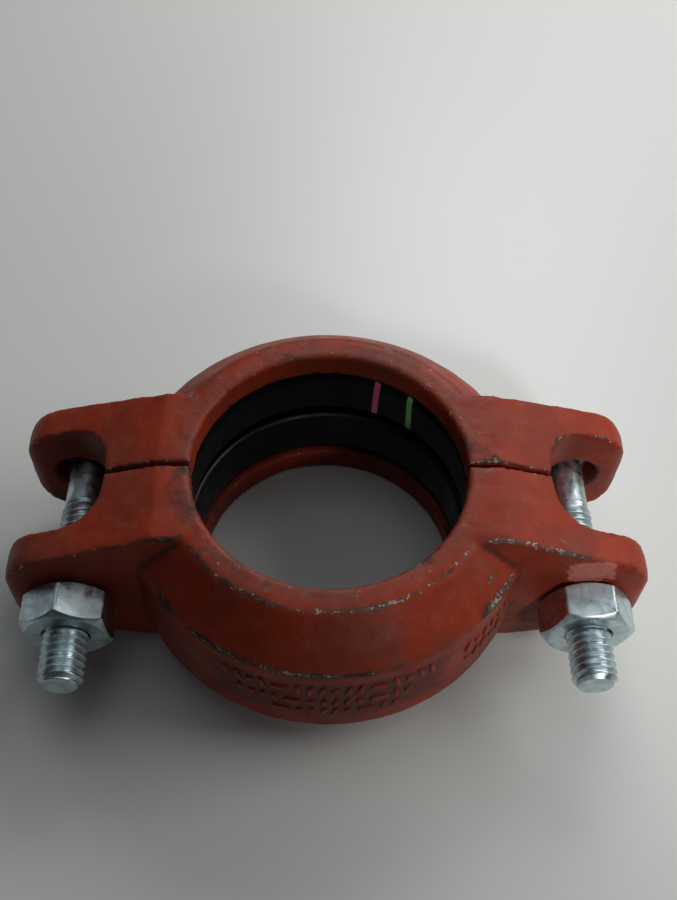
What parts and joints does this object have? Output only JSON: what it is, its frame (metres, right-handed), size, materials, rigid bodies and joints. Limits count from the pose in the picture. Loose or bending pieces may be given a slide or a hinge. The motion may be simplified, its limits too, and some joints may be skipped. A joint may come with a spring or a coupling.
{
  "type": "grooved pipe coupling",
  "caption": "Grooved pipe coupling: bolted cast housings with inner keys close round a rubber gasket to join two grooved pipe ends, with bolt lugs at each side.",
  "frame": {"origin": "on the pipe axis, in the plane of the lower side face that the coupling lies on", "axes": "+Z along the pipe axis, upwards as the coupling lies on its side face; X through the two bolt axes; -Y towards the nuts, +Y towards the bolt heads"},
  "size_m": [0.136, 0.0878, 0.043],
  "materials": {
    "painted_iron": "thin orange-red enamel on sand-cast ductile iron, satin, rubbed through to grey along the edges",
    "gasket_rubber": "smooth black moulded rubber, semi-gloss, with two thin painted colour stripes",
    "zinc_plate": "bright blue-white zinc plating on steel, slightly cloudy"
  },
  "bodies": {
    "rear_half": {"rear_housing": "painted_iron", "bolt_left": "zinc_plate", "bolt_right": "zinc_plate"},
    "front_half": {"front_housing": "painted_iron"},
    "gasket_ring": {"gasket": "gasket_rubber"},
    "left_nut": {"nut_left": "zinc_plate"},
    "right_nut": {"nut_right": "zinc_plate"}
  },
  "joints": [
    {"name": "housing_opening", "type": "slide", "parent": "rear_half", "child": "front_half", "axis": [0, -1, 0], "range_m": [0, 0.00953]},
    {"name": "gasket_shift", "type": "slide", "parent": "rear_half", "child": "gasket_ring", "axis": [0, -1, 0], "range_m": [0, 0.0048]},
    {"name": "left_nut_turn", "type": "hinge", "parent": "front_half", "child": "left_nut", "pos_m": [-0.0542, -0.0247, 0.0215], "axis": [0, -1, 0], "range_deg": [0, 2161]},
    {"name": "right_nut_turn", "type": "hinge", "parent": "front_half", "child": "right_nut", "pos_m": [0.0542, -0.0247, 0.0215], "axis": [0, -1, 0], "range_deg": [0, 2161]}
  ],
  "couplings": [
    {"joint": "gasket_shift", "follows": "housing_opening", "ratio": 0.5},
    {"joint": "left_nut_turn", "follows": "housing_opening", "rad_per_m": 3957.9},
    {"joint": "right_nut_turn", "follows": "housing_opening", "rad_per_m": 3957.9}
  ]
}
